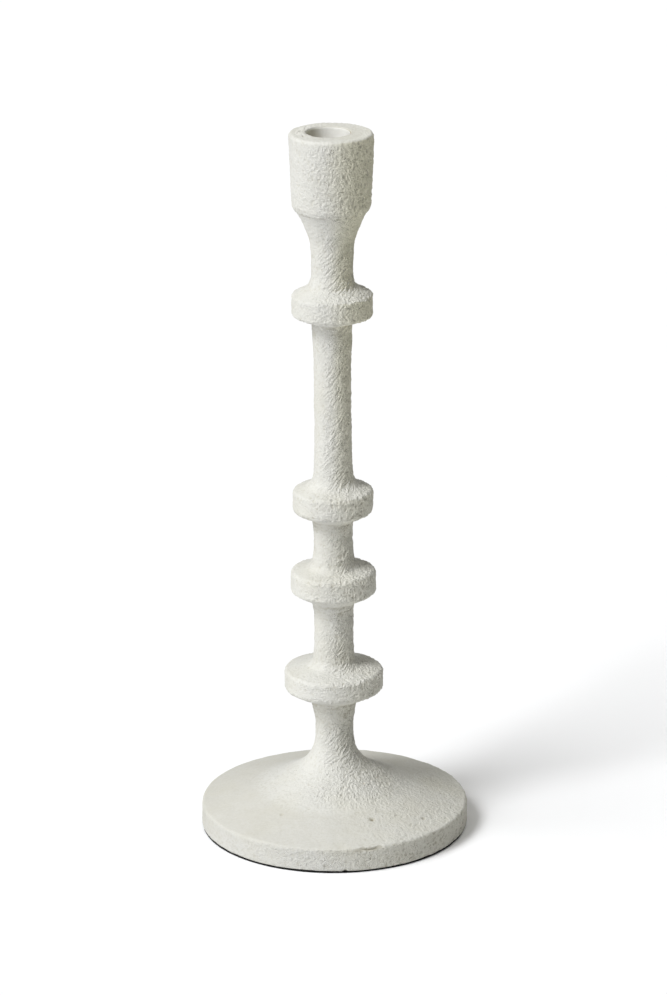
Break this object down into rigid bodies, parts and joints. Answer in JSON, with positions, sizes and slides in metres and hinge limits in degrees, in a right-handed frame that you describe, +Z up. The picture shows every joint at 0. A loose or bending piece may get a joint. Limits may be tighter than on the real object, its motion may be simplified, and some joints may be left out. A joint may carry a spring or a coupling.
{
  "type": "turned wooden candlestick",
  "caption": "Tall slender turned candlestick on a dished round base, with stacked collars on its stem and a bored cup for one taper candle, in a rough off-white coat.",
  "frame": {"origin": "centre of the underside of the felt pad, on the turning axis and on the surface it stands on", "axes": "+Z up along the turning axis to the cup; -Y is the front, and the candle socket is bored slightly to -X and +Y of the axis"},
  "size_m": [0.1424, 0.1424, 0.3824],
  "materials": {
    "plaster_coat": "rough matte plaster paint over turned wood",
    "liner_paint": "smooth matte off-white paint",
    "screw_steel": "zinc plated",
    "black_felt": "matte pressed felt"
  },
  "bodies": {
    "root": {"felt_pad": "black_felt", "base": "plaster_coat", "base_screw": "screw_steel", "base_washer": "screw_steel", "foot_section": "plaster_coat", "lower_section": "plaster_coat", "middle_section": "plaster_coat", "shaft_section": "plaster_coat", "upper_section": "plaster_coat", "candle_cup": "plaster_coat", "socket_liner": "liner_paint", "cup_screw": "screw_steel"}
  },
  "joints": []
}
